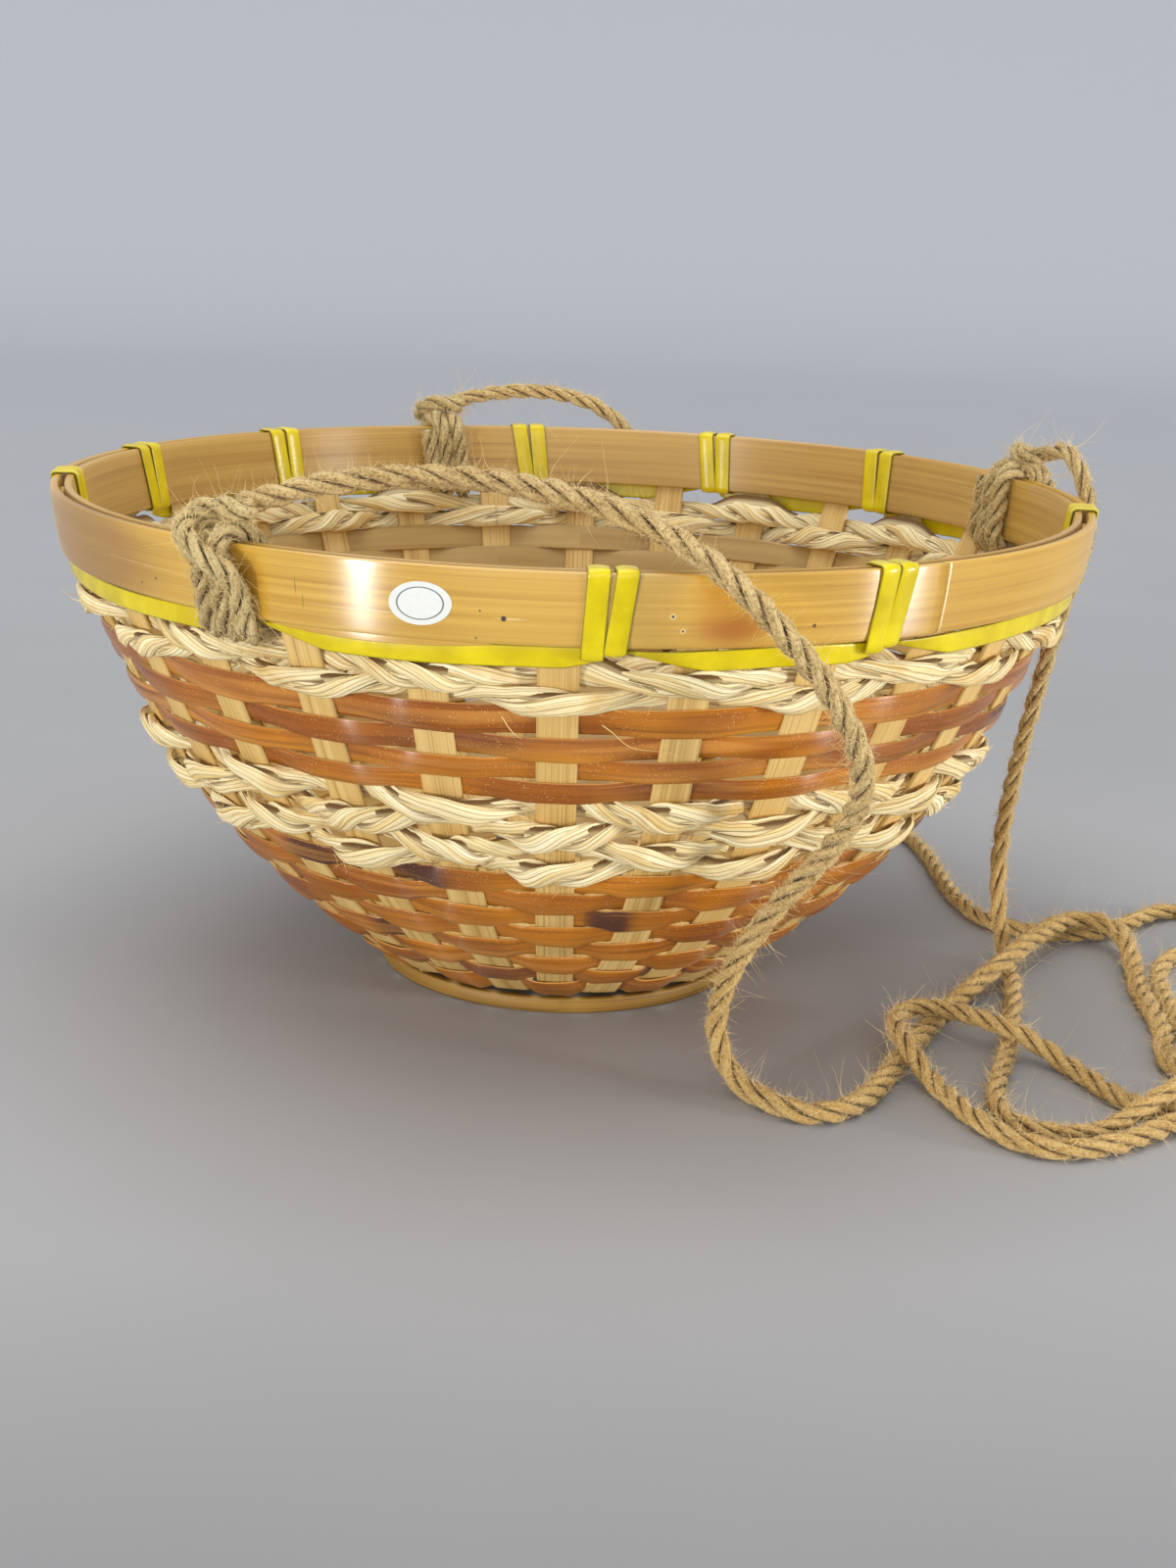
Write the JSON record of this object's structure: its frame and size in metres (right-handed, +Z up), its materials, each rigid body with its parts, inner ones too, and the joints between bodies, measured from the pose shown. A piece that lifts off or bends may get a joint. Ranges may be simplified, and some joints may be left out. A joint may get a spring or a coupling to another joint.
{
  "type": "hanging basket",
  "caption": "Round woven bamboo bowl basket with a lashed hoop rim, bands of seagrass cord and brown strips, and rope hangers joined in a knot.",
  "frame": {"origin": "on the surface that the basket stands on, at the basket's axis", "axes": "+Z up along the basket's axis, -Y towards the front, where the left hanger crosses the wall"},
  "size_m": [0.3729, 0.334, 0.1633],
  "materials": {
    "bamboo_splint": "satin",
    "rim_bamboo": "varnished",
    "brown_weaver": "varnished",
    "seagrass": "matte",
    "lashing": "gloss",
    "jute": "matte"
  },
  "bodies": {
    "root": {"splint_across_1": "bamboo_splint", "splint_across_2": "bamboo_splint", "splint_across_3": "bamboo_splint", "splint_across_4": "bamboo_splint", "splint_across_5": "bamboo_splint", "splint_across_6": "bamboo_splint", "splint_across_7": "bamboo_splint", "splint_along_1": "bamboo_splint", "splint_along_2": "bamboo_splint", "splint_along_3": "bamboo_splint", "splint_along_4": "bamboo_splint", "splint_along_5": "bamboo_splint", "splint_along_6": "bamboo_splint", "splint_along_7": "bamboo_splint", "top_cord_1": "seagrass", "top_cord_2": "seagrass", "upper_weaver_1": "brown_weaver", "upper_weaver_2": "brown_weaver", "upper_weaver_3": "brown_weaver", "upper_weaver_4": "brown_weaver", "middle_cord_1": "seagrass", "middle_cord_2": "seagrass", "middle_cord_3": "seagrass", "middle_cord_4": "seagrass", "lower_weaver_1": "brown_weaver", "lower_weaver_2": "brown_weaver", "lower_weaver_3": "brown_weaver", "lower_weaver_4": "brown_weaver", "lower_weaver_5": "brown_weaver", "lower_weaver_6": "brown_weaver", "lower_weaver_7": "brown_weaver", "lower_weaver_8": "brown_weaver", "outer_hoop": "rim_bamboo", "inner_hoop": "rim_bamboo", "foot_ring": "bamboo_splint", "lashing_turns": "lashing", "lashing_runs": "lashing", "left_hitch": "jute", "right_hitch": "jute", "back_hitch": "jute", "left_hanger": "jute", "right_hanger": "jute", "back_hanger": "jute", "hanging_loop": "jute", "hanger_knot": "jute"}
  },
  "joints": []
}
